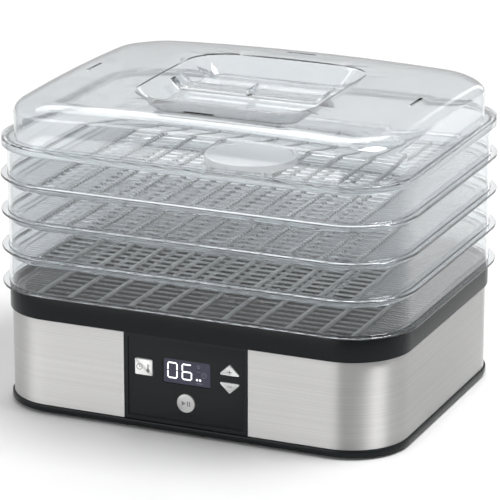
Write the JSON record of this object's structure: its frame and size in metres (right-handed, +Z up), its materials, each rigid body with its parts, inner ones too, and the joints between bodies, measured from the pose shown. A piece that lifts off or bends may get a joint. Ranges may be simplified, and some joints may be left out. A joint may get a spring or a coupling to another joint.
{
  "type": "food dehydrator",
  "caption": "Stackable food dehydrator with a steel-banded fan base, control panel, clear grid trays and a clear vented lid.",
  "frame": {"origin": "on the table under the middle of the base, at the underside of the rubber feet", "axes": "+X to the right along the front, +Y to the back, +Z up"},
  "size_m": [0.351, 0.277, 0.2552],
  "materials": {
    "black_plastic": "satin black moulding",
    "brushed_steel": "brushed sideways",
    "clear_plastic": "clear polished moulding",
    "frosted_plastic": "milky clear moulding",
    "button_silver": "silver-grey satin",
    "lens_black": "smoked window",
    "rubber": "matt",
    "zinc_steel": "zinc plated",
    "board_green": "solder mask",
    "mica": "mica sheet",
    "nickel_wire": "oxidised wire",
    "copper": "copper",
    "white_ceramic": "white ceramic"
  },
  "bodies": {
    "base": {"upper_casing": "black_plastic", "air_deck": "black_plastic", "bottom_plate": "black_plastic", "outlet_grille": "black_plastic", "cord_gland": "black_plastic", "control_panel": "black_plastic", "air_duct": "black_plastic", "switch_mode": "black_plastic", "switch_start": "black_plastic", "switch_up": "black_plastic", "switch_down": "black_plastic", "board_pillar_1": "black_plastic", "board_pillar_2": "black_plastic", "heater_relay": "black_plastic", "steel_band": "brushed_steel", "display_lens": "lens_black", "foot_front_left": "rubber", "foot_front_right": "rubber", "foot_rear_left": "rubber", "foot_rear_right": "rubber", "casing_screw_front_left": "zinc_steel", "casing_screw_front_right": "zinc_steel", "casing_screw_rear_left": "zinc_steel", "casing_screw_rear_right": "zinc_steel", "fan_motor": "zinc_steel", "motor_strap": "zinc_steel", "motor_screw_left": "zinc_steel", "motor_screw_right": "zinc_steel", "thermal_fuse": "zinc_steel", "capacitor": "zinc_steel", "control_board": "board_green", "power_board": "board_green", "heater_cross": "mica", "heater_coil": "nickel_wire", "air_sensor": "copper", "transformer": "copper", "display_module": "white_ceramic", "thermal_cutout": "white_ceramic"},
    "fan": {"fan_impeller": "black_plastic", "fan_shaft": "zinc_steel"},
    "mode_key": {"button_mode": "button_silver"},
    "start_key": {"button_start": "button_silver"},
    "up_key": {"button_up": "button_silver"},
    "down_key": {"button_down": "button_silver"},
    "deflector": {"air_deflector": "frosted_plastic"},
    "lid": {"lid": "clear_plastic", "lid_handle": "clear_plastic"},
    "tray_1": {"tray_1_frame": "clear_plastic", "tray_1_grid": "clear_plastic"},
    "tray_2": {"tray_2_frame": "clear_plastic", "tray_2_grid": "clear_plastic"},
    "tray_3": {"tray_3_frame": "clear_plastic", "tray_3_grid": "clear_plastic"},
    "tray_4": {"tray_4_frame": "clear_plastic", "tray_4_grid": "clear_plastic"}
  },
  "joints": [
    {"name": "fan_spin", "type": "hinge", "parent": "base", "child": "fan", "pos_m": [0, 0, 0.046], "axis": [0, 0, 1], "continuous": true},
    {"name": "mode_press", "type": "slide", "parent": "base", "child": "mode_key", "axis": [0, 1, 0], "range_m": [0, 0.001], "stiffness_N_per_m": 800},
    {"name": "start_press", "type": "slide", "parent": "base", "child": "start_key", "axis": [0, 1, 0], "range_m": [0, 0.001], "stiffness_N_per_m": 800},
    {"name": "up_press", "type": "slide", "parent": "base", "child": "up_key", "axis": [0, 1, 0], "range_m": [0, 0.001], "stiffness_N_per_m": 800},
    {"name": "down_press", "type": "slide", "parent": "base", "child": "down_key", "axis": [0, 1, 0], "range_m": [0, 0.001], "stiffness_N_per_m": 800},
    {"name": "tray_1_lift", "type": "slide", "parent": "base", "child": "tray_1", "axis": [0, 0, 1], "range_m": [0, 0.06]},
    {"name": "tray_2_lift", "type": "slide", "parent": "tray_1", "child": "tray_2", "axis": [0, 0, 1], "range_m": [0, 0.06]},
    {"name": "tray_3_lift", "type": "slide", "parent": "tray_2", "child": "tray_3", "axis": [0, 0, 1], "range_m": [0, 0.06]},
    {"name": "tray_4_lift", "type": "slide", "parent": "tray_3", "child": "tray_4", "axis": [0, 0, 1], "range_m": [0, 0.06]},
    {"name": "deflector_lift", "type": "slide", "parent": "tray_4", "child": "deflector", "axis": [0, 0, 1], "range_m": [0, 0.018]},
    {"name": "lid_lift", "type": "slide", "parent": "tray_4", "child": "lid", "axis": [0, 0, 1], "range_m": [0, 0.06]}
  ]
}
